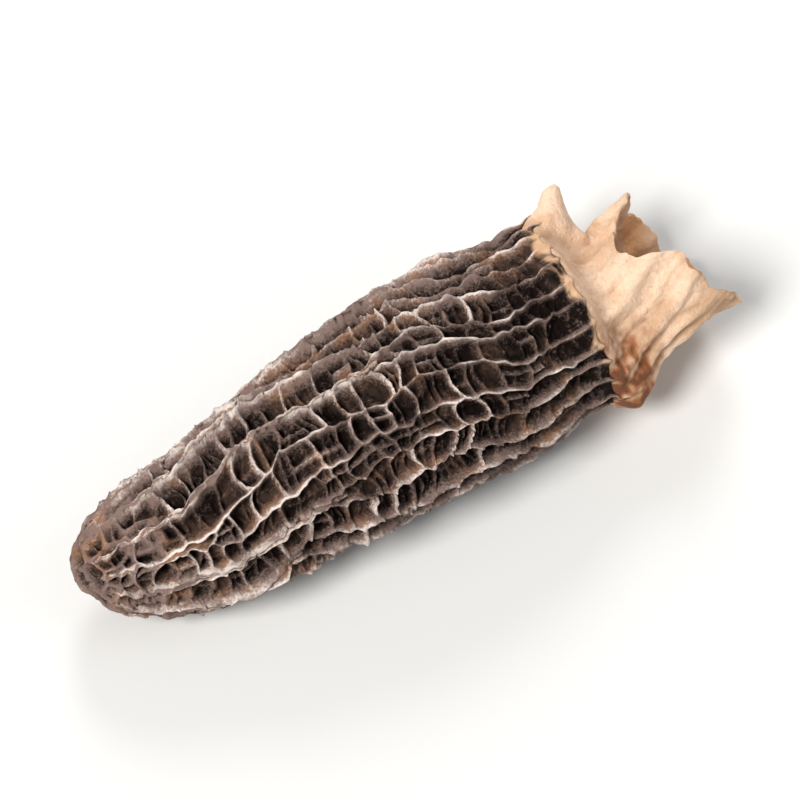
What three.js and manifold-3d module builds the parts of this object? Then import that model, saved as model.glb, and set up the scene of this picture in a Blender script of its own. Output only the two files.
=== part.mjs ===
// A dried black morel lying on its side, as picked, trimmed and dried: a dark hollow cap covered
// by a raised net of ribs and rungs, and a short pale hollow stem, crumpled and cut off raggedly.
// Millimetres, +Z up. The tip of the cap points along -X and the cut end of the stem along +X.
// Angles run round the axis from +Y towards +Z. "along" is 0 at the cap's tip and 1 at the stem,
// "share" runs the other way over the curved side, and "reach" is millimetres past the cap.
import * as THREE from "three";
import { mergeVertices } from "three/addons/utils/BufferGeometryUtils.js";
import Module from "manifold-3d";

const { clamp, degToRad, lerp, smoothstep } = THREE.MathUtils;

// Driving dimensions
const CAP_LENGTH = 34; // from the tip to the line where the stem starts
const STEM_REACH = 11.2; // from that line to the furthest point of the cut rim
const CAP_RADIUS = 7.3; // half the widest width, over the crests of the ribs
const TOP_SQUASH = 0.94; // height over width of the upper half of the cap
const UNDER_SQUASH = 0.86; // the same for the lower half, which dried flatter
const NET_DEPTH = 1.35; // from a rib's crest to the floor of a pit
const TIP_DEPTH = { share: 0.5, from: 0.78 }; // the net is that much shallower at the tip
const BASE_DEPTH = { share: 0.7, until: 0.08 }; // and where it joins the stem
const CAP_WALL = 1; // from the floor of a pit to the hollow inside
const STEM_WALL = 0.7;
const REST_CUT = 0.55; // how much of the lowest ribs is worn flat where the cap lies
const JOINT_GAP = 0.3; // between the cap and the stem

// The cap's outline and its axis
const BLUNTNESS = 0.45; // a smaller power makes a blunter tip
const BASE = { from: 0.84, narrowing: 0.12 }; // the cap draws in a little towards the stem
const BEND = { base: 0.6, middle: -0.8, lean: 0.7 }; // sideways millimetres, and where the bend is
const TIP_LIFT = { share: 0.72, until: 0.7 }; // height of the axis at the tip, as a share of its full height
const SHRINKAGE = 0.022; // depth of the broad hollows, as a share of the radius
const HOLLOWS = [{ round: 3, run: 0.9 }, { round: 2, run: -1.7 }]; // waves round and along the cap
const ROUND_TIP = 0.3; // share of the cap over which the hollows fade out towards the tip

// The net: ribs run from the stem to the tip, and rungs join neighbouring ribs
const RIBS = 26;
const ROWS = 64; // steps along a rib
const SEED = 11;
const TIP_RING = 0.965; // share of the way to the tip where the net ends in a small crown
const COLUMN_SHARES = [0, 0.31, 0.69]; // a crest and two places on the floor of the gap beside it
const GAP_WIDTH = [0.8, 1.2]; // of the mean
const CLOSING = [0.12, 0.8]; // shares between which two ribs may run together
const CLOSED = 0.84; // how much of its width a gap loses there
const CLOSING_RUN = 0.09; // share of the rib's length over which it does
const NEVER = 2; // a share past the tip, for the gaps that stay open
const WAVES = [2, 4]; // slow swings of a rib along its length
const RIPPLES = [7, 10]; // quick ones
const TWIST = -0.035; // turns by which the ribs wind round the cap
const SWAY = 0.16; // how far a rib strays sideways, as a share of a gap
const RIPPLE_SHARE = 0.5; // how far the quick ripples reach, as a share of the slow swings
const CREST_WEAR = 0.06; // how much lower a crest is where it is worn
const RUNG_RELIEF = [0.5, 0.85]; // height of a rung as a share of a rib's
const RUNG_STEPS = [2, 3, 2, 2, 3]; // rows from one rung to the next
const FIRST_RUNGS = 3; // the first rung of a gap is on one of this many rows
const RUNG_BOW = 0.45; // how far a rung bows along the cap, in rows
const BOW_SWINGS = 5; // times that the bows swing from one way to the other
const PIT_WIDTHS = [0.3, 1]; // a gap narrower than the first is filled, and past the second it is full depth

// The stem
const NECK_RADIUS = 4.3;
const NECK_AT = 2.3; // reach of the narrowest place
const NECK_SHIFT = -0.8; // how far the neck lies out of line
const RIM_RADIUS = 4.8;
const RIM_SHIFT = 1; // how far the rim leans back the other way
const FLARE_RADIUS = 6.1; // where the stem spreads out under the cap
const FLARE_CURVE = 1.5; // a larger power narrows it sooner
const STEM_SQUASH = 0.92;
const OPEN_SIDE = 115; // degrees: the side on which the torn rim lets you look in
const RIM = { mean: 8.4, slant: 1.9, longest: 235 }; // the rim's reach, and the angle where it is longest
const NOTCH = { at: 72, spread: 28, reach: -2.4 };
const LOBE = { at: 5, spread: 18, reach: 0.5 };
const CORNER = { at: 205, spread: 14, reach: 0.9 };
// Where the flesh under the cap rises to stand out further, is as wide for a while, and narrows later
const FLAPS = [
  { at: 31, spread: 14, out: 2.1, rises: [0.1, 2.7], holds: 3.2, later: 1.6 },
  { at: 205, spread: 35, out: 0.7, rises: [-1, 2.3], holds: 0, later: 4 },
];
const TEETH = [{ count: 7, depth: 0.28, phase: 0 }, { count: 13, depth: 0.16, phase: 40 }];
const FOLDS = [
  { count: 4, depth: 0.3, phase: 34 },
  { count: 9, depth: 0.2, phase: 0 },
  { count: 17, depth: 0.1, phase: 57 },
];
const FOLD_WIND = 5; // degrees that a fold winds round the stem in a millimetre
const STEM_SEGMENTS = 60;
const STEM_STEPS = 16;

// The hollow inside
const CAVITY_TIP = 0.11; // how close to the cap's tip it comes
const CAVITY_SPACING = 0.85; // a power under 1 sets the rings closer together towards the tip
const MOUTH = { thicker: 0.35, until: 0.3 }; // the wall is thicker where the cap joins the stem
const PAST = 1; // how far a hollow runs out past the end that it opens at
const CAVITY_SEGMENTS = 28;
const CAVITY_STEPS = 14;

const CAP_COLOUR = "#4a3d38";
const STEM_COLOUR = "#dcbf96";
const CAP_ROUGHNESS = 0.85;
const STEM_ROUGHNESS = 0.75;

const wasm = await Module();
wasm.setup();

const sine = (turns) => Math.sin(2 * Math.PI * turns);

// A small repeatable source of random numbers from 0 to 1
function randomSource(seed) {
  let state = seed;
  return () => {
    state = (state * 1664525 + 1013904223) % 2 ** 32;
    return state / 2 ** 32;
  };
}

// What a bulge or a notch adds at an angle
function bump(degrees, { at, spread, reach }) {
  const away = ((degrees - at + 540) % 360) - 180;
  return reach * Math.exp(-((away / spread) ** 2));
}

// What several waves round the stem add at an angle
function waves(list, degrees) {
  const wave = ({ count, depth, phase }) => depth * sine((count * degrees + phase) / 360);
  return list.reduce((sum, each) => sum + wave(each), 0);
}

// Radius of the cap over its crests
function capRadius(along) {
  const blunt = Math.sin((Math.PI / 2) * along ** BLUNTNESS);
  return CAP_RADIUS * blunt * (1 - BASE.narrowing * smoothstep(along, BASE.from, 1));
}

// The axis bends a little sideways, and sits higher where the cap is thick, so the underside is level
function axisPoint(along) {
  const y = BEND.base * along ** 2 + BEND.middle * Math.sin(Math.PI * along ** BEND.lean);
  const height = lerp(TIP_LIFT.share, 1, smoothstep(along, 0, TIP_LIFT.until));
  return new THREE.Vector3(CAP_LENGTH * along, y, UNDER_SQUASH * CAP_RADIUS * height - REST_CUT);
}

// Broad hollows where the flesh shrank as it dried. They fade out at the tip
function shrink(turn, along) {
  const wave = HOLLOWS.reduce((sum, { round, run }) => sum + sine(round * turn + run * along), 0);
  return 1 - SHRINKAGE * wave * smoothstep(along, 0, ROUND_TIP);
}

// A point that lies inset millimetres under the crests
function capPoint(turn, along, inset) {
  const angle = 2 * Math.PI * turn;
  const radius = Math.max(capRadius(along) * shrink(turn, along) - inset, 0);
  const squash = Math.sin(angle) > 0 ? TOP_SQUASH : UNDER_SQUASH;
  const out = new THREE.Vector3(0, Math.cos(angle), Math.sin(angle) * squash);
  return axisPoint(along).addScaledVector(out, radius);
}

// Places along the cap that are evenly spaced over its curved side, from the stem to the tip
function measureSide(steps) {
  const side = (along) => new THREE.Vector2(CAP_LENGTH * along, capRadius(along));
  const fine = Array.from({ length: 40 * steps + 1 }, (_, i) => 1 - i / (40 * steps));
  const run = [0];
  fine.slice(1).forEach((along, i) => run.push(run[i] + side(along).distanceTo(side(fine[i]))));
  return Array.from({ length: steps + 1 }, (_, i) => {
    const wanted = (run.at(-1) * i) / steps;
    return fine[run.findIndex((length) => length >= wanted - 1e-9)];
  });
}
const sidePlaces = measureSide(200);

function alongAt(share) {
  const at = share * (sidePlaces.length - 1);
  const low = Math.min(Math.floor(at), sidePlaces.length - 2);
  return lerp(sidePlaces[low], sidePlaces[low + 1], at - low);
}

// What makes each gap between two ribs its own: its width, where it closes, how its first rib
// swings and wears, and where its rungs are. Only every other gap closes
function growGaps() {
  const random = randomSource(SEED);
  return Array.from({ length: RIBS }, (_, i) => {
    const gap = {
      width: lerp(...GAP_WIDTH, random()),
      closes: lerp(...CLOSING, random()) + (i % 2 ? 0 : NEVER),
      waves: lerp(...WAVES, random()),
      ripples: lerp(...RIPPLES, random()),
      phase: random(),
      bow: random(),
      rungs: new Map(),
    };
    let row = 1 + Math.floor(FIRST_RUNGS * random());
    while (row < ROWS) {
      gap.rungs.set(row, lerp(...RUNG_RELIEF, random()));
      row += RUNG_STEPS[Math.floor(RUNG_STEPS.length * random())];
    }
    return gap;
  });
}
const gaps = growGaps();

function gapWidth(gap, share) {
  return gap.width * (1 - CLOSED * smoothstep(share, gap.closes - CLOSING_RUN, gap.closes + CLOSING_RUN));
}

// Turns round the axis at which each rib stands
function ribTurns(share) {
  const widths = gaps.map((gap) => gapWidth(gap, share));
  const total = widths.reduce((sum, width) => sum + width);
  const turns = [];
  let edge = TWIST * share;
  gaps.forEach((gap, i) => {
    const room = Math.min(widths[i], widths.at(i - 1)) / total;
    const ripple = RIPPLE_SHARE * sine(gap.ripples * share - gap.phase);
    const sway = sine(gap.waves * share + gap.phase) + ripple;
    turns.push(edge + SWAY * room * sway);
    edge += widths[i] / total;
  });
  return [...turns, turns[0] + 1];
}

// Depth of the net along the cap
function netDepth(share) {
  const tipward = lerp(1, TIP_DEPTH.share, smoothstep(share, TIP_DEPTH.from, 1));
  const stemward = lerp(BASE_DEPTH.share, 1, smoothstep(share, 0, BASE_DEPTH.until));
  return NET_DEPTH * tipward * stemward;
}

// Height of the net from 0 on the floor of a pit to 1 on a full crest
function relief(gap, row, cross, openWidth) {
  const worn = CREST_WEAR * (1 - sine((gap.ripples * row) / ROWS + 2 * gap.phase));
  if (cross === 0) return 1 - worn;
  return Math.max(gap.rungs.get(row) ?? 0, 1 - smoothstep(openWidth, ...PIT_WIDTHS));
}

// One ring of the net, as points round the axis
function netRing(row) {
  const share = row / ROWS;
  const turns = ribTurns(share);
  return gaps.flatMap((gap, i) =>
    COLUMN_SHARES.map((cross) => {
      const turn = lerp(turns[i], turns[i + 1], cross);
      const bow = 4 * cross * (1 - cross) * RUNG_BOW * sine(BOW_SWINGS * share + gap.bow);
      const place = row === 0 ? 0 : clamp((row + bow) / ROWS, 0, 1) * TIP_RING;
      const along = alongAt(place);
      const openWidth = (turns[i + 1] - turns[i]) * 2 * Math.PI * capRadius(along);
      const sunk = netDepth(share) * (1 - relief(gap, row, cross, openWidth));
      return capPoint(turn, along, sunk);
    }),
  );
}

// A solid from a closed surface, once the points that share a place are merged
function toSolid(surface) {
  const merged = mergeVertices(surface, 1e-5);
  return new wasm.Manifold(
    new wasm.Mesh({
      numProp: 3,
      vertProperties: merged.attributes.position.array,
      triVerts: new Uint32Array(merged.index.array),
    }),
  );
}

// A solid inside rings of points that follow each other along -X, closed at both ends by a fan
// round the ring's own middle
function solidFromRings(rings) {
  const size = rings[0].length;
  const points = rings.flat();
  const middle = (ring) => ring.reduce((sum, p) => sum.add(p), new THREE.Vector3()).divideScalar(size);
  const first = points.push(middle(rings[0])) - 1;
  const last = points.push(middle(rings.at(-1))) - 1;
  const faces = [];
  for (let ring = 0; ring < rings.length - 1; ring++)
    for (let i = 0; i < size; i++) {
      const [a, b] = [ring * size + i, ring * size + ((i + 1) % size)];
      faces.push(a, a + size, b, b, a + size, b + size);
    }
  const end = (rings.length - 1) * size;
  for (let i = 0; i < size; i++) {
    const next = (i + 1) % size;
    faces.push(first, i, next, last, end + next, end + i);
  }
  return toSolid(new THREE.BufferGeometry().setFromPoints(points).setIndex(faces));
}

// The hollow inside the cap, smooth, and open at the stem, where its first ring lies outside the cap
function capHollow() {
  const rings = [];
  for (let step = -1; step <= CAVITY_STEPS; step++) {
    const share = Math.max(step, 0) / CAVITY_STEPS;
    const along = lerp(1, CAVITY_TIP, share ** CAVITY_SPACING);
    const wall = NET_DEPTH + CAP_WALL + MOUTH.thicker * (1 - smoothstep(share, 0, MOUTH.until));
    const pointAt = (_, i) => capPoint(i / CAVITY_SEGMENTS, along, wall);
    const ring = Array.from({ length: CAVITY_SEGMENTS }, pointAt);
    if (step < 0) ring.forEach((p) => (p.x += PAST));
    rings.push(ring);
  }
  return solidFromRings(rings);
}

// Everything below the surface that the morel lies on
function groundBlock() {
  const depth = CAP_RADIUS;
  const block = new THREE.BoxGeometry(3 * CAP_LENGTH, 4 * CAP_RADIUS, depth);
  block.translate(CAP_LENGTH / 2, 0, -depth / 2);
  block.deleteAttribute("normal");
  block.deleteAttribute("uv");
  return toSolid(block);
}

function capSolid() {
  const rings = Array.from({ length: ROWS + 1 }, (_, row) => netRing(row));
  return solidFromRings(rings).subtract(capHollow()).subtract(groundBlock());
}

// How far the stem reaches past the cap at an angle, with small teeth where it tore
function rimReach(degrees) {
  const slant = RIM.mean + RIM.slant * Math.cos(degToRad(degrees - RIM.longest));
  const torn = bump(degrees, NOTCH) + bump(degrees, LOBE) + bump(degrees, CORNER) + waves(TEETH, degrees);
  return Math.min(slant + torn, STEM_REACH);
}

// How much the flesh stands out where the stem spreads under the cap
function flare(degrees, reach) {
  let [width, from, until] = [FLARE_RADIUS - NECK_RADIUS, 0, NECK_AT];
  for (const { at, spread, out, rises, holds, later } of FLAPS) {
    const near = bump(degrees, { at, spread, reach: 1 });
    width += near * out * smoothstep(reach, ...rises);
    from += near * holds;
    until += near * later;
  }
  return width * (1 - smoothstep(reach, from, until)) ** FLARE_CURVE;
}

// How far the stem's middle lies out of line: one way at the neck, the other way at the rim
function sidestep(reach) {
  const neck = NECK_SHIFT * smoothstep(reach, 0, NECK_AT);
  return lerp(neck, RIM_SHIFT, smoothstep(reach, NECK_AT, STEM_REACH));
}

// A point of the stem, inset millimetres under its outside. spread is what the flare adds there
function stemPoint(degrees, reach, inset, spread) {
  const opening = (RIM_RADIUS - NECK_RADIUS) * smoothstep(reach, NECK_AT, STEM_REACH);
  const folds = waves(FOLDS, degrees + FOLD_WIND * reach) * smoothstep(reach, 0, NECK_AT);
  const radius = NECK_RADIUS + opening + folds + spread - inset;
  const sideways = degToRad(OPEN_SIDE - 90);
  const centre = axisPoint(1);
  return new THREE.Vector3(
    CAP_LENGTH + reach,
    centre.y + sidestep(reach) * Math.cos(sideways) + radius * Math.cos(degToRad(degrees)),
    centre.z + sidestep(reach) * Math.sin(sideways) + radius * STEM_SQUASH * Math.sin(degToRad(degrees)),
  );
}

function stemRing(pointAt) {
  return Array.from({ length: STEM_SEGMENTS }, (_, i) => pointAt((360 * i) / STEM_SEGMENTS));
}

// The crumpled outside, less a hollow that runs out at both ends
function stemSolid() {
  const outside = [];
  for (let step = STEM_STEPS; step >= 0; step--)
    outside.push(
      stemRing((degrees) => {
        const reach = lerp(JOINT_GAP, rimReach(degrees), step / STEM_STEPS);
        return stemPoint(degrees, reach, 0, flare(degrees, reach));
      }),
    );
  const inside = [];
  for (let step = STEM_STEPS; step >= 0; step--) {
    const reach = lerp(-PAST, STEM_REACH + PAST, step / STEM_STEPS);
    inside.push(stemRing((degrees) => stemPoint(degrees, reach, STEM_WALL, 0)));
  }
  return solidFromRings(outside).subtract(solidFromRings(inside));
}

function meshOf(name, solid, colour, roughness) {
  const { vertProperties, triVerts } = solid.getMesh();
  const geometry = new THREE.BufferGeometry()
    .setAttribute("position", new THREE.BufferAttribute(vertProperties, 3))
    .setIndex(new THREE.BufferAttribute(triVerts, 1));
  geometry.computeVertexNormals();
  const look = { color: colour, roughness, metalness: 0, flatShading: true };
  const material = new THREE.MeshStandardMaterial(look);
  const mesh = new THREE.Mesh(geometry, material);
  mesh.name = name;
  return mesh;
}

const morel = new THREE.Group();
morel.add(meshOf("cap", capSolid(), CAP_COLOUR, CAP_ROUGHNESS));
morel.add(meshOf("stem", stemSolid(), STEM_COLOUR, STEM_ROUGHNESS));
// The origin is on the ground under the middle of the morel
const middle = new THREE.Box3().setFromObject(morel).getCenter(new THREE.Vector3());
morel.position.set(-middle.x, -middle.y, 0);

export default morel;
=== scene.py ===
import math

import bpy
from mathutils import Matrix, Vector, noise


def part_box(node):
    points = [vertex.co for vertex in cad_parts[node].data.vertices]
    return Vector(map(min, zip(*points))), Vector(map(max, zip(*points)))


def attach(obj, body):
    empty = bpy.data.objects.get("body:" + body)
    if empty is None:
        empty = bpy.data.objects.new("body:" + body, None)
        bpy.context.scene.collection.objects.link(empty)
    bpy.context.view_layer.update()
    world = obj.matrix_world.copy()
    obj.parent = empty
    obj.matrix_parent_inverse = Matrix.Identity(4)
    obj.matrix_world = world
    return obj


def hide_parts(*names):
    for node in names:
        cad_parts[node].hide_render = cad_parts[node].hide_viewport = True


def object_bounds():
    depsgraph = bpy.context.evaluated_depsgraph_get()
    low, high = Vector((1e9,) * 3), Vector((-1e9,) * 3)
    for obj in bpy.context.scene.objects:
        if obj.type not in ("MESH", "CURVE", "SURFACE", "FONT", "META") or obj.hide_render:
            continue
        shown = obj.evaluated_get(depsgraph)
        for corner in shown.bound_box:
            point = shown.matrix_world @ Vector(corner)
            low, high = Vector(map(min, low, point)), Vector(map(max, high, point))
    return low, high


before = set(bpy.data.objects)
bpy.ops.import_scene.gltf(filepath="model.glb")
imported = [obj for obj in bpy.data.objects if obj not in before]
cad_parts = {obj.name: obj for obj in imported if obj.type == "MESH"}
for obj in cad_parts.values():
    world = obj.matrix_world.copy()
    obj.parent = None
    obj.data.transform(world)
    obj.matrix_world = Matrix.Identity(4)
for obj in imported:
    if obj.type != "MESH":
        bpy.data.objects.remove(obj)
cad_low, cad_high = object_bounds()

# A dried black morel that lies on its side. It is grown in millimetres, the way that its solids are:
# the cap's tip points along -X and the cut end of the stem along +X, and +Z is up.
# Angles run round the axis from +Y towards +Z, in degrees or in turns. along is 0 at the cap's tip and
# 1 at the stem, share runs the other way over the curved side, and reach is millimetres past the cap.
# A value in brackets is a range, where its comment doesn't say more.
MM = 0.001

# The cap, as its solid has it
CAP_LENGTH = 34  # from the tip to the line where the stem starts
CAP_RADIUS = 7.3  # half the widest width, over the crests of the ribs
TOP_SQUASH = 0.94  # height over width of the upper half of the cap
UNDER_SQUASH = 0.86  # the same for the lower half, which dried flatter
BLUNTNESS = 0.45  # a smaller power makes a blunter tip
BASE_FROM, BASE_NARROWING = 0.84, 0.12  # the cap draws in a little towards the stem
BEND_BASE, BEND_MIDDLE, BEND_LEAN = 0.6, -0.8, 0.7  # sideways millimetres, and where the bend is
TIP_LIFT, TIP_LIFT_UNTIL = 0.72, 0.7  # height of the axis at the tip, as a share of its full height
SHRINKAGE = 0.022  # depth of the broad hollows, as a share of the radius
HOLLOWS = ((3, 0.9), (2, -1.7))  # waves round the cap and along it
ROUND_TIP = 0.3  # share of the cap over which the hollows fade out towards the tip
REST_CUT = 0.55  # how much of the lowest ribs is worn flat where the cap lies
SIDE_PLACES = 200  # even steps over the curved side
SIDE_DETAIL = 40  # finer steps in each of them, to measure with
HAIR = 1e-9  # more than a rounding error

# Its net: ribs run from the stem to the tip, and rungs join neighbouring ribs
NET_DEPTH = 1.35  # from a rib's crest to the floor of a pit
TIP_DEPTH, TIP_DEPTH_FROM = 0.5, 0.78  # the net is that much shallower at the tip
BASE_DEPTH, BASE_DEPTH_UNTIL = 0.7, 0.08  # and where it joins the stem
RIBS = 26
ROWS = 64  # steps along a rib
SEED = 11
TIP_RING = 0.965  # share of the way to the tip where the ribs end
GAP_WIDTH = (0.8, 1.2)  # of the mean
CLOSING = (0.12, 0.8)  # shares between which two ribs may run together
CLOSED = 0.84  # how much of its width a gap loses there
CLOSING_RUN = 0.09  # share of the rib's length over which it does
NEVER = 2  # a share past the tip, for the gaps that stay open
WAVES = (2, 4)  # slow swings of a rib along its length
RIPPLES = (7, 10)  # quick ones
RIPPLE_SHARE = 0.5  # how far the quick ripples reach, as a share of the slow swings
TWIST = -0.035  # turns by which the ribs wind round the cap
SWAY = 0.16  # how far a rib strays sideways, as a share of a gap
CREST_WEAR = 0.06  # how much lower a crest is where it is worn
RUNG_RELIEF = (0.5, 0.85)  # height of a rung as a share of a rib's
RUNG_STEPS = (2, 3, 2, 2, 3)  # rows from one rung to the next
FIRST_RUNGS = 3  # the first rung of a gap is on one of this many rows
RUNG_BOW = 0.45  # how far a rung bows along the cap, in rows
BOW_SWINGS = 5  # times that the bows swing from one way to the other
PIT_WIDTHS = (0.3, 1)  # a gap narrower than the first is filled, and past the second it is full depth

# The stem, as its solid has it
STEM_REACH = 11.2  # to the furthest point of the cut rim
JOINT_GAP = 0.3  # between the solids of the cap and the stem
NECK_RADIUS = 4.3
NECK_AT = 2.3  # reach of the narrowest place
NECK_SHIFT = -0.8  # how far the neck lies out of line
RIM_RADIUS = 4.8
RIM_SHIFT = 1  # how far the rim leans back the other way
FLARE_RADIUS = 6.1  # where the stem spreads out under the cap
FLARE_CURVE = 1.5  # a larger power narrows it sooner
STEM_SQUASH = 0.92
OPEN_SIDE = 115  # degrees: the side on which the torn rim lets you look in
RIM_MEAN, RIM_SLANT, RIM_LONGEST = 8.4, 1.9, 235  # the rim's reach, and the angle where it is longest
# The middle of a notch or a bulge and its spread, in degrees, and what it adds
NOTCH = (72, 28, -2.4)
LOBE = (5, 18, 0.5)
CORNER = (205, 14, 0.9)
# Where the flesh under the cap rises to stand out further, is as wide for a while, and narrows later
FLAPS = (
    {"at": 31, "spread": 14, "out": 2.1, "rises": (0.1, 2.7), "holds": 3.2, "later": 1.6},
    {"at": 205, "spread": 35, "out": 0.7, "rises": (-1, 2.3), "holds": 0, "later": 4},
)
POINTED_FLAP = FLAPS[0]
# Waves round the stem: how many, how deep, and their phase in degrees
TEETH = ((7, 0.28, 0), (13, 0.16, 40))
FOLDS = ((4, 0.3, 34), (9, 0.2, 0), (17, 0.1, 57))
FOLD_WIND = 5  # degrees that a fold winds round the stem in a millimetre

# The hollow inside
CAP_WALL = 1  # from the floor of a pit to the hollow
STEM_WALL = 0.7
CAVITY_TIP, CAVITY_MOUTH = 0.11, 0.97  # where along the cap its first and last rings are
CAVITY_SPACING = 0.85  # a power under 1 sets the rings closer together towards the tip
CAVITY_STEPS = 14
MOUTH_THICKER, MOUTH_UNTIL = 0.35, 0.3  # the wall is thicker where the cap joins the stem

# From here on, what the solids don't have. Unevenness in every direction is given as heights, the
# size of a lump in millimetres, and a seed
RAGGED_NET = ((0.12, 0.7, 0), (0.03, 0.3, 4))
STRAY_RIBS = ((0.3, 1.7, 8),)  # millimetres sideways
CREPT_RUNGS = ((0.3, 1.9, 7), (0.1, 0.8, 6))  # millimetres along the cap
FINGER_ENDS = ((0.35, 1.6, 3),)
PALE_PATCHES = ((0.2, 6, 14),)
LINING_LUMPS = ((0.12, 1.1, 2),)
DENTS = ((0.36, 2.2, 31),)
PLEAT_WANDER = ((10, 1.7, 32),)  # degrees
STEM_WRINKLES = ((0.1105, 0.55, 33), (0.068, 0.25, 35))
CRINKLES_X = ((1, 1.5, 61), (0.3, 0.6, 64))  # of how far the stem is crinkled
CRINKLES_Y = ((1, 1.5, 74), (0.3, 0.6, 77))
CRINKLES_Z = ((1, 1.5, 87), (0.3, 0.6, 90))
FINE_TEETH = ((0.3, 1.1, 21), (0.14, 0.4, 22))
CURLS = ((0.35, 3.1, 34),)
MOTTLES = ((1.2, 0.9, 36), (0.9, 0.4, 37))
TORN_GRAIN = ((0.06, 0.3, 51),)
# Unevenness along a rib is given as heights, how far the pattern moves on from rib to rib, the
# length of a lump in millimetres, and a seed
RIB_CRINKLES = ((0.15, 7.3, 1.5, 0), (0.09, 3.1, 0.6, 5))
RIB_STRETCHES = ((1.1, 4.3, 5, 31),)
RIB_NICKS = ((0.25, 5.7, 1.1, 9),)
RIB_ROUGHNESS = ((0.06, 2.9, 0.6, 13),)

# The fine net: thin blades for ribs and rungs, crinkled along their edges
CROSSINGS = (0, 0.045, 0.1, 0.18, 0.29, 0.43, 0.57, 0.71, 0.82, 0.9, 0.955)  # vertices over a gap
ROW_PARTS = (0, 0.16, 0.38, 0.62, 0.84)  # and from row to row
BLADE_POWER = 1.6  # a larger power makes a broader crest with steeper sides
BLADE_THICKNESS = (0.09, 0.22)  # half the thickness of the lowest rib and of the highest
RUNG_BLADE = 0.17  # half the thickness of a rung
CREST_LINE = 0.13  # half the width of the pale line on a crest
FOOT_WIDTH, FOOT_HEIGHT = 0.3, 0.3  # a rib's broad foot, of the gap's width and of the rib's height
JOINING = 4  # a smaller power fills the corners between blades more
RIB_STRENGTH, MEAN_STRENGTH = (0.66, 1.02), 0.55  # height of a rib, and where in it the mean is
PALE_RIBS = (0.3, 1)  # a rib lower than the first has no pale crest
PULL, PULL_RUN = 0.17, 0.35  # how far a rung draws a rib over, and along how much of the rib
LEAN_RUN = 0.5  # how far from a rib its lean carries
STRAY_GROWS = (0.05, 0.8)  # shares
CREEP_ROWS, CREEP_UNTIL = 4, 0.9  # the rungs lie true beside the stem and at the tip
EXTRA_DEPTH = 0.25  # how much deeper the pits are than the solid's
FURROW_DEPTH, FURROW_CURVE = 0.5, 1.5
FURROW_LENGTH, FURROW_WIDTH = 8, 2.6
FURROWS = ((1.3, FURROW_WIDTH, 12),)
FURROWED = 0.35  # depth between the furrows, as a share
FURROW_STARTS = (0.02, 0.12)  # shares
SMALLEST_RADIUS = 1  # no place is moved further round the tip than a cap of this radius would let it

# Rungs, low wrinkles between them, and short ribs that split some of the cells
RUNG_HEIGHT = (0.5, 0.97)
WRINKLE_HEIGHT = (0.08, 0.62)
RUNG_SLANT = 0.9  # how much further along one end may be than the other, in rows
RUNG_DIP = (0.02, 0.4)  # how much lower a rung is in its middle
BASE_RUNGS, BASE_RUNGS_RUN = 0.52, (0.06, 0.3)  # rungs are low beside the stem
PALE_RUNGS = (0.4, 0.8)  # a rung lower than the first has no pale crest
RUNG_PALENESS = 0.85
SHORT_RIBS = (0.15, 0.6)  # how many cells one splits, beside the stem and at the tip
SHORT_RIB_PLACE = (0.36, 0.64)  # of the gap
SHORT_RIB_HEIGHT = (0.45, 0.81)
SHORT_RIB_PALENESS = 0.78
CLOSED_HEIGHT = 0.9  # of a gap that is filled

# Small walls in no order, that take over where the ribs crowd together at the tip
COMB_CELL = 1.6
COMB_STRETCH = 1.35  # length of a cell over its width
COMB_HEIGHT = (0.26, 0.86)  # on the cap's side and at its tip
COMB_FROM = (0.7, 0.92)  # shares
COMB_WALL_AWAY = 0.55  # turns the difference between two distances into the distance from a wall
COMB_PALENESS = 0.5
LOWERED_RIBS = 0.22  # how much lower the ribs are there
TIP_RADII = (1.2, 3.4)  # the ribs are gone where the cap is thinner than the first
TIP_FLOOR = 0.28  # how much shallower the pits are there
TIP_RINGS = 8
TIP_SETTLED = 0.4  # share of the rings after which the small walls stand alone

# Painted light: the crests are palest on the side that faces the light, given as an angle, a spread and a
# share
PAINTED_LIGHT_SIDE = (115, 75, 1)
UNLIT_PALENESS = 0.7
TIP_PALENESS = 0.7

# The net's ragged edge, which lies on the stem
EDGE_ROWS = 3
FINGERS = (0.15, 0.6)  # reach of the edge beside a rib, and at the rib
FLAP_FINGERS = (POINTED_FLAP["at"], 20, 0.9)  # the ribs reach further on the pointed flap
EDGE_THICKNESS = 0.05
EDGE_HEIGHT, EDGE_HEIGHT_ROWS = (0.12, 0.45), 2  # of its ribs: at their ends, and this many rows in
EDGE_LIES_FROM = -0.2  # reach past which it lies wholly on the stem
EDGE_BACK, EDGE_IN = 0.9, 0.16  # how far it turns back under itself, and the share of the way in
HEM = 1.8  # width of the cream hem
LESS_CREAM_HEM = (186, 40, 0.5)  # where the hem is less cream
FLAP_HEM = (POINTED_FLAP["at"], 20, 0.6)

# The fine stem
STEM_COLUMNS = 288
STEM_ROWS = 112
STEM_INSIDE_ROWS = 70
STEM_START, STEM_INSIDE_START = -0.9, -1.3
STEM_TUCK, STEM_TUCK_UNTIL = 1.2, -0.05  # how far its end goes in under the net
COLLAR_INSET = 0.4  # how far under the cap's crests its flesh starts
COLLAR_RUN = (-0.1, 1.1)  # reaches between which it leaves the cap's outline
CRUMPLED_FROM = (-0.2, 1.4)
DENT_STRETCH, WRINKLE_STRETCH = 1.7, 3  # length over width
PLEAT_WIDTH, PLEAT_WIND, PLEAT_DEPTH = 19, 4, 0.34  # degrees, degrees in a millimetre, and depth
PLEATED_LEAST = 0.25
PLEATED_SIDE = (190, 55, 0.75)
CRINKLED = (0.1, 0.36)  # on most of the stem, and on the pointed flap
CRINKLED_FROM = (0, 1.4)
FLAP_CRINKLED_UNTIL = (4, 6)
CURL_RUN = 1.6  # how far from the rim it curls
RIM_WALL, THINNING_RUN = 0.3, 1.2  # the wall thins out towards the rim
INSIDE_LIP = 0.06  # how much shorter the inside is
RIM_ROUNDING = 0.05
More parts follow.
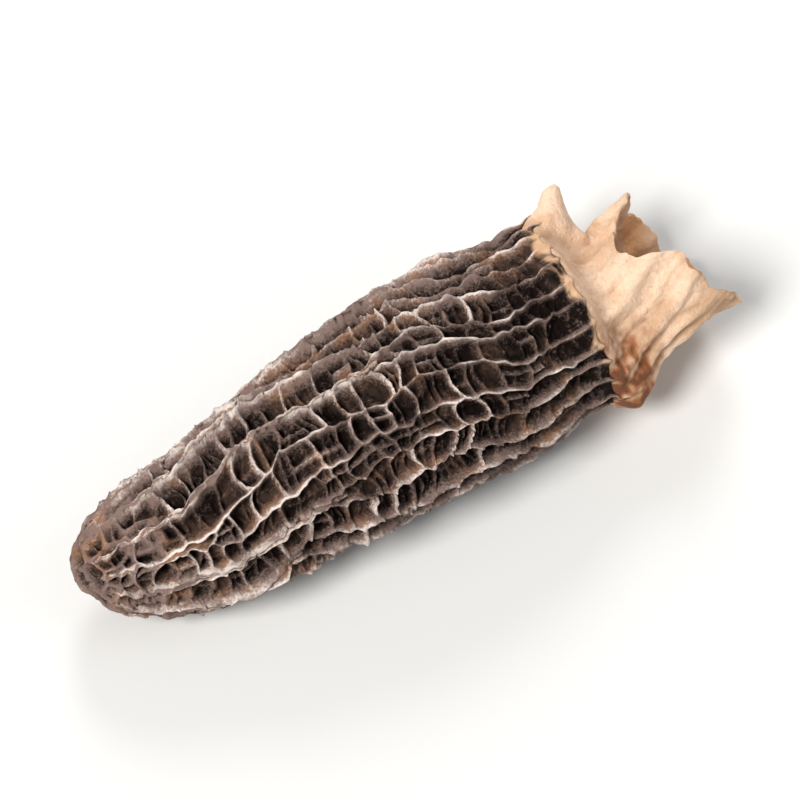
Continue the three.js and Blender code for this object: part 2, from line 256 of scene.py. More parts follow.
JOIN_BROWN_PLACE = (184, 46, 1.05)
JOIN_BROWN_FADES = (1.2, 6)
JOIN_BROWN_MEAN = 0.75


def lerp(a, b, t):
    return a + (b - a) * t


def clamp(value, low, high):
    return min(max(value, low), high)


def smoothstep(value, low, high):
    t = clamp((value - low) / (high - low), 0, 1)
    return t * t * (3 - 2 * t)


def sine(turns):
    return math.sin(2 * math.pi * turns)


def zigzag(turns):
    """Straight slopes between 0 and 1, one full swing a turn"""
    return abs(2 * (turns % 1) - 1)


def mound(distance, width):
    """1 at no distance, and less further away"""
    return math.exp(-((distance / width) ** 2))


def blade(distance, width):
    """The same with a sharper crest"""
    return math.exp(-((distance / width) ** BLADE_POWER))


def joined(*heights):
    """Heights that run together smoothly where they meet"""
    return sum(max(height, 0) ** JOINING for height in heights) ** (1 / JOINING)


def bump(degrees, at, spread, reach):
    """What a bulge or a notch adds at an angle"""
    away = (degrees - at + 540) % 360 - 180
    return reach * mound(away, spread)


def wave_sum(waves, degrees):
    """What several waves round the stem add at an angle"""
    return sum(depth * sine((count * degrees + phase) / 360) for count, depth, phase in waves)


def outward(degrees):
    """The way out from the axis at an angle"""
    angle = math.radians(degrees)
    return Vector((0, math.cos(angle), math.sin(angle)))


def lumps(point, kinds):
    """Smooth unevenness in every direction"""
    places = ((height, point / size + Vector((seed, seed, seed))) for height, size, seed in kinds)
    return sum(height * noise.noise(place) for height, place in places)


def rib_lumps(rib, run, kinds):
    """Smooth unevenness along a rib, other on each rib"""
    places = ((height, Vector((step * rib, run / length, seed))) for height, step, length, seed in kinds)
    return sum(height * noise.noise(place) for height, place in places)


def drawn_out(point, times):
    """Where to read unevenness so that its lumps are longer along the morel than they are wide"""
    return Vector((point.x / times, point.y, point.z))


def random_source(seed):
    """A small repeatable source of random numbers from 0 to 1"""
    state = seed
    while True:
        state = (state * 1664525 + 1013904223) % 2**32
        yield state / 2**32


def cap_radius(along):
    """Radius of the cap over its crests"""
    blunt = math.sin(math.pi / 2 * along**BLUNTNESS)
    return CAP_RADIUS * blunt * (1 - BASE_NARROWING * smoothstep(along, BASE_FROM, 1))


def axis_point(along):
    """The axis bends a little sideways, and is higher where the cap is thick"""
    y = BEND_BASE * along**2 + BEND_MIDDLE * math.sin(math.pi * along**BEND_LEAN)
    height = lerp(TIP_LIFT, 1, smoothstep(along, 0, TIP_LIFT_UNTIL))
    return Vector((CAP_LENGTH * along, y, UNDER_SQUASH * CAP_RADIUS * height - REST_CUT))


def shrink(turn, along):
    """Broad hollows where the flesh shrank as it dried. They fade out at the tip"""
    wave = sum(sine(count * turn + run * along) for count, run in HOLLOWS)
    return 1 - SHRINKAGE * wave * smoothstep(along, 0, ROUND_TIP)


def cap_point(turn, along, inset):
    """A point inset millimetres under the cap's crests"""
    angle = 2 * math.pi * turn
    radius = max(cap_radius(along) * shrink(turn, along) - inset, 0)
    squash = TOP_SQUASH if math.sin(angle) > 0 else UNDER_SQUASH
    return axis_point(along) + radius * Vector((0, math.cos(angle), math.sin(angle) * squash))


def measure_side():
    """Places that are evenly spaced over the cap's curved side, from the stem to the tip, and its length"""
    count = SIDE_DETAIL * SIDE_PLACES
    fine = [1 - i / count for i in range(count + 1)]
    run = [0.0]
    for before, after in zip(fine, fine[1:]):
        step = math.hypot(CAP_LENGTH * (before - after), cap_radius(before) - cap_radius(after))
        run.append(run[-1] + step)
    places = []
    at = 0
    for i in range(SIDE_PLACES + 1):
        while run[at] < run[-1] * i / SIDE_PLACES - HAIR:
            at += 1
        places.append(fine[at])
    return places, run[-1]


side_places, side_length = measure_side()
ROW_LENGTH = side_length * TIP_RING / ROWS


def along_at(share):
    at = share * SIDE_PLACES
    low = min(math.floor(at), SIDE_PLACES - 1)
    return lerp(side_places[low], side_places[low + 1], at - low)


def grow_gaps():
    """What makes each gap between two ribs its own, drawn in the order that the solids draw it.
    Only every other gap closes"""
    random = random_source(SEED)
    gaps = []
    for i in range(RIBS):
        gap = {
            "width": lerp(*GAP_WIDTH, next(random)),
            "closes": lerp(*CLOSING, next(random)) + (0 if i % 2 else NEVER),
            "waves": lerp(*WAVES, next(random)),
            "ripples": lerp(*RIPPLES, next(random)),
            "phase": next(random),
            "bow": next(random),
            "rungs": {},
        }
        row = 1 + math.floor(FIRST_RUNGS * next(random))
        while row < ROWS:
            gap["rungs"][row] = lerp(*RUNG_RELIEF, next(random))
            row += RUNG_STEPS[math.floor(len(RUNG_STEPS) * next(random))]
        gaps.append(gap)
    return gaps


def grow_ridges(gap, random):
    """A slanting rung or a low wrinkle on every row, as its height, its slant and its dip"""
    low, high = RUNG_RELIEF
    ridges = {}
    for row in range(1, ROWS):
        height = lerp(*WRINKLE_HEIGHT, next(random))
        slant = lerp(-RUNG_SLANT, RUNG_SLANT, next(random))
        dip = lerp(*RUNG_DIP, next(random))
        if row in gap["rungs"]:
            height = lerp(*RUNG_HEIGHT, (gap["rungs"][row] - low) / (high - low))
        ridges[row] = (height, slant, dip)
    return ridges


def grow_short_ribs(gap, random):
    """Short ribs that split some of the cells between two rungs, as their place and their height"""
    short_ribs = {}
    rows = sorted(gap["rungs"])
    for start, end in zip(rows, rows[1:]):
        chance = next(random)
        place = lerp(*SHORT_RIB_PLACE, next(random))
        height = lerp(*SHORT_RIB_HEIGHT, next(random))
        if chance < lerp(*SHORT_RIBS, start / ROWS):
            short_ribs.update({row: (place, height) for row in range(start, end)})
    return short_ribs


def add_details(gaps):
    random = random_source(SEED + 1)
    for gap in gaps:
        gap["ridges"] = grow_ridges(gap, random)
        gap["short ribs"] = grow_short_ribs(gap, random)


gaps = grow_gaps()
add_details(gaps)


def gap_width(gap, share):
    closing = smoothstep(share, gap["closes"] - CLOSING_RUN, gap["closes"] + CLOSING_RUN)
    return gap["width"] * (1 - CLOSED * closing)


def rib_turns(share):
    """Turns round the axis at which each rib stands"""
    widths = [gap_width(gap, share) for gap in gaps]
    total = sum(widths)
    turns = []
    edge = TWIST * share
    for i, gap in enumerate(gaps):
        room = min(widths[i], widths[i - 1]) / total
        sway = sine(gap["waves"] * share + gap["phase"])
        sway += RIPPLE_SHARE * sine(gap["ripples"] * share - gap["phase"])
        turns.append(edge + SWAY * room * sway)
        edge += widths[i] / total
    return turns + [turns[0] + 1]


def net_depth(share):
    tipward = lerp(1, TIP_DEPTH, smoothstep(share, TIP_DEPTH_FROM, 1))
    stemward = lerp(BASE_DEPTH, 1, smoothstep(share, 0, BASE_DEPTH_UNTIL))
    return NET_DEPTH * tipward * stemward


def crest_wear(gap, share):
    return CREST_WEAR * (1 - sine(gap["ripples"] * share + 2 * gap["phase"]))


def rim_reach(degrees):
    """How far the solid stem reaches past the cap"""
    slant = RIM_MEAN + RIM_SLANT * math.cos(math.radians(degrees - RIM_LONGEST))
    torn = bump(degrees, *NOTCH) + bump(degrees, *LOBE) + bump(degrees, *CORNER)
    return min(slant + torn + wave_sum(TEETH, degrees), STEM_REACH)


def flap_out(flap, degrees, reach):
    """How much further the flesh stands out at a flap"""
    return bump(degrees, flap["at"], flap["spread"], flap["out"]) * smoothstep(reach, *flap["rises"])


def flare(degrees, reach):
    """How much the flesh stands out where the stem spreads under the cap"""
    width, start, end = FLARE_RADIUS - NECK_RADIUS, 0, NECK_AT
    for flap in FLAPS:
        near = bump(degrees, flap["at"], flap["spread"], 1)
        width += flap_out(flap, degrees, reach)
        start += near * flap["holds"]
        end += near * flap["later"]
    return width * (1 - smoothstep(reach, start, end)) ** FLARE_CURVE


def sidestep(reach):
    """How far the stem's middle lies out of line: one way at the neck, the other way at the rim"""
    neck = NECK_SHIFT * smoothstep(reach, 0, NECK_AT)
    return lerp(neck, RIM_SHIFT, smoothstep(reach, NECK_AT, STEM_REACH))


def stem_point(degrees, reach, spread):
    """A point of the stem's outside. spread is what the flare adds there"""
    opening = (RIM_RADIUS - NECK_RADIUS) * smoothstep(reach, NECK_AT, STEM_REACH)
    folds = wave_sum(FOLDS, degrees + FOLD_WIND * reach) * smoothstep(reach, 0, NECK_AT)
    radius = NECK_RADIUS + opening + folds + spread
    shift = sidestep(reach)
    sideways = math.radians(OPEN_SIDE - 90)
    centre = axis_point(1)
    angle = math.radians(degrees)
    return Vector((
        CAP_LENGTH + reach,
        centre.y + shift * math.cos(sideways) + radius * math.cos(angle),
        centre.z + shift * math.sin(sideways) + radius * STEM_SQUASH * math.sin(angle),
    ))


def crest_point(rib, row):
    """A crest of the solid cap"""
    share = row / ROWS
    worn = net_depth(share) * crest_wear(gaps[rib], share)
    return cap_point(rib_turns(share)[rib], along_at(share * TIP_RING), worn)


def growth_offset():
    """From where the morel grows to where the frame has its solids, in millimetres"""
    lowest_y = min(crest_point(rib, row).y for rib in range(RIBS) for row in range(ROWS))
    return Vector((
        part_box("stem")[0].x / MM - CAP_LENGTH - JOINT_GAP,
        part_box("cap")[0].y / MM - lowest_y,
        0,
    ))


OFFSET = growth_offset()


def rib_lean(rib, place):
    """How far a rib's crest crinkles sideways. Each rung that joins it draws it over a little"""
    lean = rib_lumps(rib, place * ROW_LENGTH, RIB_CRINKLES)
    for side, gap in ((1, gaps[rib]), (-1, gaps[rib - 1])):
        for row in (math.floor(place), math.floor(place) + 1):
            if row in gap["rungs"]:
                height, slant, _ = gap["ridges"][row]
                away = (place - row + side * slant / 2) * ROW_LENGTH
                lean += side * PULL * height * mound(away, PULL_RUN)
    return lean


def rib_top(rib, share):
    """Height of a rib's crest. Stretches of it stand taller than others, and drying left nicks"""
    run = share * side_length
    strength = clamp(MEAN_STRENGTH + rib_lumps(rib, run, RIB_STRETCHES), 0, 1)
    nick = max(rib_lumps(rib, run, RIB_NICKS), 0)
    rough = rib_lumps(rib, run, RIB_ROUGHNESS)
    return lerp(*RIB_STRENGTH, strength) - crest_wear(gaps[rib], share) - nick + rough


def rib_blades(tops, cross, gap_mm, share):
    """Heights of the ribs on both sides of a gap, and how close to a crest a place is"""
    lowered = 1 - LOWERED_RIBS * smoothstep(share, *COMB_FROM)
    heights = []
    crest = 0
    for top, away in zip(tops, (cross * gap_mm, (1 - cross) * gap_mm)):
        thin = (1 - FOOT_HEIGHT) * blade(away, lerp(*BLADE_THICKNESS, top))
        foot = FOOT_HEIGHT * mound(away, FOOT_WIDTH * gap_mm)
        heights.append(lowered * top * (thin + foot))
        crest = max(crest, smoothstep(top, *PALE_RIBS) * blade(away, CREST_LINE))
    return heights, crest


def cross_ridge(gap, place, cross):
    """Height of the nearest rung or wrinkle, and how close to its crest a place is"""
    best, crest = 0, 0
    whole = math.floor(place)
    for row in (whole - 1, whole, whole + 1, whole + 2):
        if row in gap["ridges"]:
            height, slant, dip = gap["ridges"][row]
            height *= lerp(BASE_RUNGS, 1, smoothstep(row / ROWS, *BASE_RUNGS_RUN))
            height *= 1 - 4 * dip * cross * (1 - cross)
            away = abs(place - row - slant * (cross - 0.5)) * ROW_LENGTH
            best = max(best, height * blade(away, RUNG_BLADE))
            crest = max(crest, smoothstep(height, *PALE_RUNGS) * blade(away, CREST_LINE))
    return best, RUNG_PALENESS * crest


def short_rib(gap, place, cross, gap_mm):
    """Height of a short rib that splits a cell, and how close to its crest a place is"""
    middle, height = gap["short ribs"].get(math.floor(place), (0, 0))
    away = abs(cross - middle) * gap_mm
    return height * blade(away, RUNG_BLADE), SHORT_RIB_PALENESS * height * blade(away, CREST_LINE)


def comb(surface, share):
    """Small walls in no order. They stand up near the tip and stay low on the rest of the cap"""
    nearest, second = noise.voronoi(drawn_out(surface, COMB_STRETCH) / COMB_CELL)[0][:2]
    away = (second - nearest) * COMB_CELL * COMB_WALL_AWAY
    tipward = smoothstep(share, *COMB_FROM)
    height = lerp(*COMB_HEIGHT, tipward) * blade(away, RUNG_BLADE)
    return height, COMB_PALENESS * tipward * blade(away, CREST_LINE)


def net_relief(gap, place, cross, gap_mm, tops, surface, crowded):
    """Height of the net, from 0 on the floor of a pit to 1 on a crest, and how close a crest is.
    Where the ribs crowd together at the tip, they fade out and leave only the small walls"""
    share = place / ROWS
    ribs, rib_crest = rib_blades(tops, cross, gap_mm, share)
    rung, rung_crest = cross_ridge(gap, place, cross)
    short, short_crest = short_rib(gap, place, cross, gap_mm)
    wall, wall_crest = comb(surface, share)
    closed = CLOSED_HEIGHT * (1 - smoothstep(gap_mm, *PIT_WIDTHS))
    ordered = joined(*ribs, rung, short, closed) * (1 - crowded)
    ordered_crest = max(rib_crest, rung_crest, short_crest) * (1 - crowded)
    height = lerp(TIP_FLOOR * crowded, 1, joined(ordered, wall)) + lumps(surface, RAGGED_NET)
    return height, max(ordered_crest, wall_crest)


def paleness(turn, share, surface):
    """How pale the crests are: palest on the upper side as painted light, in patches, and less so at the
    tip
    """
    painted_light_side = lerp(UNLIT_PALENESS, 1, bump(360 * turn, *PAINTED_LIGHT_SIDE))
    tipward = lerp(1, TIP_PALENESS, smoothstep(share, TIP_DEPTH_FROM, 1))
    return painted_light_side * (1 + lumps(surface, PALE_PATCHES)) * tipward


def pit_depth(share, height):
    """How far under a full crest a place lies"""
    return net_depth(share) * (1 - height) + EXTRA_DEPTH * max(1 - height, 0) ** 2


def furrow_depth(share, surface):
    """Depth of the long furrows that the cap shrank into"""
    lengthwise = drawn_out(surface, FURROW_LENGTH / FURROW_WIDTH)
    furrow = clamp(FURROWED + lumps(lengthwise, FURROWS), 0, 1)
    return FURROW_DEPTH * furrow**FURROW_CURVE * smoothstep(share, *FURROW_STARTS)


def collar_surface(degrees, reach):
    """Outside of the stem where it spreads under the cap, before it crumpled"""
    under = cap_point(degrees / 360, 1 + min(reach, 0) / CAP_LENGTH, COLLAR_INSET)
    under.x = CAP_LENGTH + reach
    under += sum(flap_out(flap, degrees, reach) for flap in FLAPS) * outward(degrees)
    outside = stem_point(degrees, reach, flare(degrees, reach))
    return under.lerp(outside, smoothstep(reach, *COLLAR_RUN))


def crumple(degrees, reach, surface):
    """How far the flesh stands in or out where it crumpled, and how deep in a pleat it is"""
    lengthwise = drawn_out(surface, WRINKLE_STRETCH)
    wound = degrees + lumps(lengthwise, PLEAT_WANDER) + PLEAT_WIND * reach
    pleat = zigzag(wound / PLEAT_WIDTH)
    pleated = PLEATED_LEAST + bump(degrees, *PLEATED_SIDE)
    dents = lumps(drawn_out(surface, DENT_STRETCH), DENTS)
    start = smoothstep(reach, *CRUMPLED_FROM)
    raised = start * (dents + PLEAT_DEPTH * pleated * (pleat - 0.5)) + lumps(lengthwise, STEM_WRINKLES)
    # the second value, how deep in a pleat a place is, becomes painted shade in the stem's colour
    return raised, start * pleated * (1 - pleat) ** 2


def crinkled(point, degrees, reach):
    """A point of the stem moved by crinkles that run every way, strongest on the pointed flap"""
    on_flap = bump(degrees, POINTED_FLAP["at"], 2 * POINTED_FLAP["spread"], 1)
    on_flap *= 1 - smoothstep(reach, *FLAP_CRINKLED_UNTIL)
    move = Vector([lumps(point, kinds) for kinds in (CRINKLES_X, CRINKLES_Y, CRINKLES_Z)])
    return point + lerp(*CRINKLED, on_flap) * smoothstep(reach, *CRINKLED_FROM) * move


def stem_face(degrees, reach, curl=0):
    """The outside of the stem with its crumples, and how deep in a pleat it is"""
    surface = collar_surface(degrees, reach)
    raised, pleat = crumple(degrees, reach, surface)
    return crinkled(surface + (raised + curl) * outward(degrees), degrees, reach), pleat


def along_bowed(gap, place, cross):
    """Where along the cap a place of the net is, as the rungs bow"""
    bow = 4 * cross * (1 - cross) * RUNG_BOW * sine(BOW_SWINGS * place / ROWS + gap["bow"])
    return along_at(clamp((place + bow * smoothstep(place, 0, 1)) / ROWS, 0, 1) * TIP_RING)


def edge_point(point, degrees, place, height, surface):
    """The first rows of the net come down on the stem, and its ribs end there as ragged fingers"""
    tall = clamp(height, 0, 1)
    finger = lerp(*FINGERS, tall) + lumps(surface, FINGER_ENDS) + bump(degrees, *FLAP_FINGERS) * tall
    covered = EDGE_ROWS * ROW_LENGTH
    reach = lerp(finger, -covered, place / EDGE_ROWS)
    on_stem, _ = stem_face(degrees, reach)
    raised = EDGE_THICKNESS + lerp(*EDGE_HEIGHT, smoothstep(place, 0, EDGE_HEIGHT_ROWS)) * tall
    return point.lerp(on_stem + raised * outward(degrees), smoothstep(reach, -covered, EDGE_LIES_FROM))


def hem_share(degrees, place):
    """How cream the net is beside the stem"""
    cream_kept = 1 - bump(degrees, *LESS_CREAM_HEM) - bump(degrees, *FLAP_HEM)
    return cream_kept * (1 - smoothstep(place * ROW_LENGTH, 0, HEM))


def moved_point(turn, along, place, lean, sunk, surface, crowded):
    """Where relief, lean and unevenness put a place. The small walls at the tip are cut along X"""
    share = place / ROWS
    stray = lumps(surface, STRAY_RIBS) * smoothstep(share, *STRAY_GROWS)
    creep = lumps(surface, CREPT_RUNGS) * smoothstep(place, 0, CREEP_ROWS)
    creep *= 1 - smoothstep(share, CREEP_UNTIL, 1)
    moved_turn = turn + (lean + stray) / (2 * math.pi * max(cap_radius(along), SMALLEST_RADIUS))
    point = cap_point(moved_turn, clamp(along + creep / CAP_LENGTH, 0, 1), sunk * (1 - crowded))
    point.x += sunk * crowded
    return point


def net_vertex(i, cross, place, turns, leans, tops):
    """One vertex of the net, with its relief, how close it is to a crest times the crest's paleness,
    painted light included, and how cream it is
    """
    gap = gaps[i]
    share = place / ROWS
    turn = lerp(turns[i], turns[i + 1], cross)
    along = along_bowed(gap, place, cross)
    gap_mm = (turns[i + 1] - turns[i]) * 2 * math.pi * cap_radius(along)
    surface = cap_point(turn, along, 0)
    crowded = 1 - smoothstep(cap_radius(along), *TIP_RADII)
    height, crest = net_relief(gap, place, cross, gap_mm, (tops[i], tops[i + 1]), surface, crowded)
    lean = leans[i] * blade(cross * gap_mm, LEAN_RUN) + leans[i + 1] * blade((1 - cross) * gap_mm, LEAN_RUN)
    sunk = pit_depth(share, height) + furrow_depth(share, surface)
    point = moved_point(turn, along, place, lean, sunk, surface, crowded)
    if place < EDGE_ROWS:
        point = edge_point(point, 360 * turn, place, height, surface)
    point.z = max(point.z, 0)
    return point, height, crest * paleness(turn, share, surface), hem_share(360 * turn, place)


def net_row(place):
    share = place / ROWS
    turns = rib_turns(share)
    leans = [rib_lean(rib % RIBS, place) for rib in range(RIBS + 1)]
    tops = [rib_top(rib % RIBS, share) for rib in range(RIBS + 1)]
    return [net_vertex(i, cross, place, turns, leans, tops) for i in range(RIBS) for cross in CROSSINGS]


def column_turns(share):
    """Turns round the axis of the net's columns of vertices"""
    turns = rib_turns(share)
    return [lerp(turns[i], turns[i + 1], cross) for i in range(RIBS) for cross in CROSSINGS]


def hidden_vertex(point):
    """A vertex that has no part in the net"""
    return point, -1, 0, 0


def lining_ring(along, wall):
    """A ring of the smooth hollow inside, with the low lumps that it dried into"""
    ring = []
    for turn in column_turns(0):
        uneven = lumps(cap_point(turn, along, wall), LINING_LUMPS)
        ring.append(hidden_vertex(cap_point(turn, along, wall + uneven)))
    return ring


def lining_rings():
    rings = []
    for step in range(CAVITY_STEPS, -1, -1):
        share = step / CAVITY_STEPS
        along = lerp(CAVITY_MOUTH, CAVITY_TIP, share**CAVITY_SPACING)
        thicker = MOUTH_THICKER * (1 - smoothstep(share, 0, MOUTH_UNTIL))
        rings.append(lining_ring(along, NET_DEPTH + CAP_WALL + thicker))
    return rings


def turned_under(edge):
    """The ring that turns the net's edge back under itself"""
    ring = []
    for point, *_ in edge:
        inward = (axis_point(1) - point) * EDGE_IN
        ring.append(hidden_vertex(point + Vector((-EDGE_BACK, inward.y, inward.z))))
    return ring


def tip_ring(part, last):
    """A ring part of the way from the last one of the net to the middle of the blunt tip"""
    along = along_at(TIP_RING)
    middle = axis_point(0)
    settled = smoothstep(part, 0, TIP_SETTLED)
    ring = []
    for turn, (point, height, crest, _) in zip(column_turns(1), last):
        surface = cap_point(turn, along, 0).lerp(middle, part)
        wall, wall_crest = comb(surface, 1)
        wall = lerp(TIP_FLOOR, 1, wall) + lumps(surface, RAGGED_NET[:1])
        cut = surface + Vector((pit_depth(1, wall), 0, 0))
        place = point.lerp(middle, part).lerp(cut, settled)
        ring.append((place, lerp(height, wall, settled), lerp(crest, wall_crest, settled), 0))
    return ring


def cap_rings():
    """Rings from the far end of the hollow out to the stem, over the edge, and back to the tip"""
    places = [row + part for row in range(ROWS) for part in ROW_PARTS] + [ROWS]
    rows = [net_row(place) for place in places]
    tip = [tip_ring(step / TIP_RINGS, rows[-1]) for step in range(1, TIP_RINGS)]
    return [*lining_rings(), turned_under(rows[0]), *rows, *tip]


def torn_reach(degrees):
    """How far the stem reaches with the fine teeth of its torn rim"""
    return min(rim_reach(degrees) + lumps(RIM_RADIUS * outward(degrees).yzx, FINE_TEETH), STEM_REACH)


def rim_curl(surface, reach, torn):
    return smoothstep(reach, torn - CURL_RUN, torn) * lumps(surface, CURLS)


def join_brown(degrees, reach, surface):
    """Brown where the stem joins the cap, on its lower side"""
    near = bump(degrees, *JOIN_BROWN_PLACE) * (1 - smoothstep(reach, *JOIN_BROWN_FADES))
    return clamp(near * (JOIN_BROWN_MEAN + lumps(surface, MOTTLES)), 0, 1)


def stem_outside(degrees, part):
    """A vertex of the outside, with how deep in a pleat it is, how far inside, and how brown beside the cap
    """
    torn = torn_reach(degrees)
    reach = lerp(STEM_START, torn, part)
    surface = collar_surface(degrees, reach)
    point, pleat = stem_face(degrees, reach, rim_curl(surface, reach, torn))
    tucked = STEM_TUCK * (1 - smoothstep(reach, STEM_START, STEM_TUCK_UNTIL))
    return point - tucked * outward(degrees), pleat, 0, join_brown(degrees, reach, surface)


def stem_inside(degrees, part):
    """The same for the hollow side of the wall, which thins out towards the torn rim"""
    torn = torn_reach(degrees)
    reach = lerp(STEM_INSIDE_START, torn - INSIDE_LIP, part)
    surface = stem_point(degrees, reach, 0)
    raised, pleat = crumple(degrees, reach, surface)
    wall = lerp(STEM_WALL, RIM_WALL, smoothstep(reach, torn - THINNING_RUN, torn))
    moved = raised + rim_curl(surface, reach, torn) - wall
    return crinkled(surface + moved * outward(degrees), degrees, reach), pleat, 1, 0


def stem_ring(vertex_at, part):
    return [vertex_at(360 * i / STEM_COLUMNS, part) for i in range(STEM_COLUMNS)]


def rim_ring(outer, inner):
    """The torn edge itself, halfway through the wall"""
    ring = []
    for (outside, pleat, *_), (inside, *_) in zip(outer, inner):
        middle = (outside + inside) / 2
        middle.x += RIM_ROUNDING + lumps(middle, TORN_GRAIN)
        ring.append((middle, pleat, 0.5, 0))
    return ring


def stem_rings():
    """Rings from the hollow's inner end out to the torn rim, and back over the outside"""
    inside = [stem_ring(stem_inside, step / STEM_INSIDE_ROWS) for step in range(STEM_INSIDE_ROWS + 1)]
    outside = [stem_ring(stem_outside, step / STEM_ROWS) for step in range(STEM_ROWS, -1, -1)]
    return inside + [rim_ring(outside[0], inside[-1])] + outside


def side_faces(count, size, loop):
    """Faces between rings that follow each other. In a loop, the last ring joins the first"""
    faces = []
    for ring in range(count if loop else count - 1):
        here, there = ring * size, (ring + 1) % count * size
        for i in range(size):
            after = (i + 1) % size
            faces.append((here + i, there + i, there + after, here + after))
    return faces


def end_faces(count, size):
    """Fans that close the first ring and the last, round the two vertices after the rings"""
    first, last = count * size, count * size + 1
    end = (count - 1) * size
    faces = []
    for i in range(size):
        after = (i + 1) % size
        faces.append((first, i, after))
        faces.append((last, end + after, end + i))
    return faces


def middle_vertex(ring):
    middle = sum((vertex[0] for vertex in ring), Vector()) / len(ring)
    return middle, *ring[0][1:]


def skin(name, rings, facts, loop):
    """A closed mesh through rings of vertices. facts names the values that each vertex carries"""
    size = len(rings[0])
    vertices = [vertex for ring in rings for vertex in ring]
    faces = side_faces(len(rings), size, loop)
    if not loop:
        vertices += [middle_vertex(rings[0]), middle_vertex(rings[-1])]
        faces += end_faces(len(rings), size)
    mesh = bpy.data.meshes.new(name)
    mesh.from_pydata([(vertex[0] + OFFSET) * MM for vertex in vertices], [], faces)
    mesh.polygons.foreach_set("use_smooth", [True] * len(faces))
    for place, fact_name in enumerate(facts, start=1):
        layer = mesh.attributes.new(fact_name, "FLOAT", "POINT")
        layer.data.foreach_set("value", [float(vertex[place]) for vertex in vertices])
    mesh.update()
    piece = bpy.data.objects.new(name, mesh)
    bpy.context.scene.collection.objects.link(piece)
    return piece


def add_node(tree, kind, **settings):
    node = tree.nodes.new(kind)
    for name, value in settings.items():
        setattr(node, name, value)
    return node


def set_inputs(node, **values):
    """Sets inputs by name, with _ for the spaces in a name"""
    for name, value in values.items():
        node.inputs[name.replace("_", " ")].default_value = value
    return node


def ranged(tree, source, low, high, out_low=0, out_high=1):
    """A value mapped smoothly from one range to another"""
    node = add_node(tree, "ShaderNodeMapRange", interpolation_type="SMOOTHSTEP")
    tree.links.new(source, node.inputs["Value"])
    set_inputs(node, From_Min=low, From_Max=high, To_Min=out_low, To_Max=out_high)
    return node.outputs["Result"]


def combined(tree, operation, first, second):
    """Two values or sockets put through one step of arithmetic"""
    node = add_node(tree, "ShaderNodeMath", operation=operation)
    for socket, value in zip(node.inputs, (first, second)):
        if isinstance(value, (int, float)):
            socket.default_value = value
        else:
            tree.links.new(value, socket)
    return node.outputs[0]


def blended(tree, share, first, second):
    """Two colours, or sockets that give them, mixed by a share"""
    node = add_node(tree, "ShaderNodeMix", data_type="RGBA")
    share_input, first_input, second_input = node.inputs[0], node.inputs[6], node.inputs[7]
    tree.links.new(share, share_input)
    for socket, value in ((first_input, first), (second_input, second)):
        if isinstance(value, tuple):
            socket.default_value = (*value, 1)
        else:
            tree.links.new(value, socket)
    colour_output = node.outputs[2]
    return colour_output


def fact(tree, name):
    """A value that each vertex carries"""
    return add_node(tree, "ShaderNodeAttribute", attribute_name=name).outputs["Fac"]


def new_material(name):
    material = bpy.data.materials.new(name)
    material.use_nodes = True
    tree = material.node_tree
    return material, tree, tree.nodes["Principled BSDF"]


def bumped(tree, shader, height, strength, distance):
    node = set_inputs(add_node(tree, "ShaderNodeBump"), Strength=strength, Distance=distance)
    tree.links.new(height, node.inputs["Height"])
    tree.links.new(node.outputs["Normal"], shader.inputs["Normal"])


def dry_flesh_group():
    """Grain and blotches of dried flesh, and how far a place is from the nearest crease"""
    group = bpy.data.node_groups.new("dry flesh", "ShaderNodeTree")
    for name in ("Grain Fineness", "Blotch Fineness", "Crease Fineness"):
        group.interface.new_socket(name, in_out="INPUT", socket_type="NodeSocketFloat")
    for name in ("Grain", "Blotches", "Creases"):
        group.interface.new_socket(name, in_out="OUTPUT", socket_type="NodeSocketFloat")
    start = add_node(group, "NodeGroupInput")
    end = add_node(group, "NodeGroupOutput")
    place = add_node(group, "ShaderNodeTexCoord")
    grain = set_inputs(add_node(group, "ShaderNodeTexNoise"), Detail=6, Roughness=0.65)
    blotches = set_inputs(add_node(group, "ShaderNodeTexNoise"), Detail=3, Roughness=0.55, Distortion=0.4)
    creases = set_inputs(add_node(group, "ShaderNodeTexNoise"), Detail=2, Roughness=0.5, Distortion=0.9)
    for texture, fineness in ((grain, "Grain"), (blotches, "Blotch"), (creases, "Crease")):
        group.links.new(place.outputs["Object"], texture.inputs["Vector"])
        group.links.new(start.outputs[f"{fineness} Fineness"], texture.inputs["Scale"])
    from_middle = combined(group, "SUBTRACT", creases.outputs["Fac"], 0.5)
    group.links.new(grain.outputs["Fac"], end.inputs["Grain"])
    group.links.new(blotches.outputs["Fac"], end.inputs["Blotches"])
    group.links.new(combined(group, "ABSOLUTE", from_middle, 0), end.inputs["Creases"])
    return group


def dry_flesh_in(tree, group, grain, blotches, creases):
    """The grain, blotches and creases of a material, each with its fineness in lumps to a metre"""
    node = add_node(tree, "ShaderNodeGroup", node_tree=group)
    set_inputs(node, Grain_Fineness=grain, Blotch_Fineness=blotches, Crease_Fineness=creases)
    return node.outputs["Grain"], node.outputs["Blotches"], node.outputs["Creases"]


# What the grain and the blotches mostly stay between
TEXTURE_RANGE = (0.3, 0.7)


def give_or_take(tree, texture, amount):
    """Grain or blotches as a value that goes up and down by an amount"""
    return ranged(tree, texture, *TEXTURE_RANGE, -amount, amount)
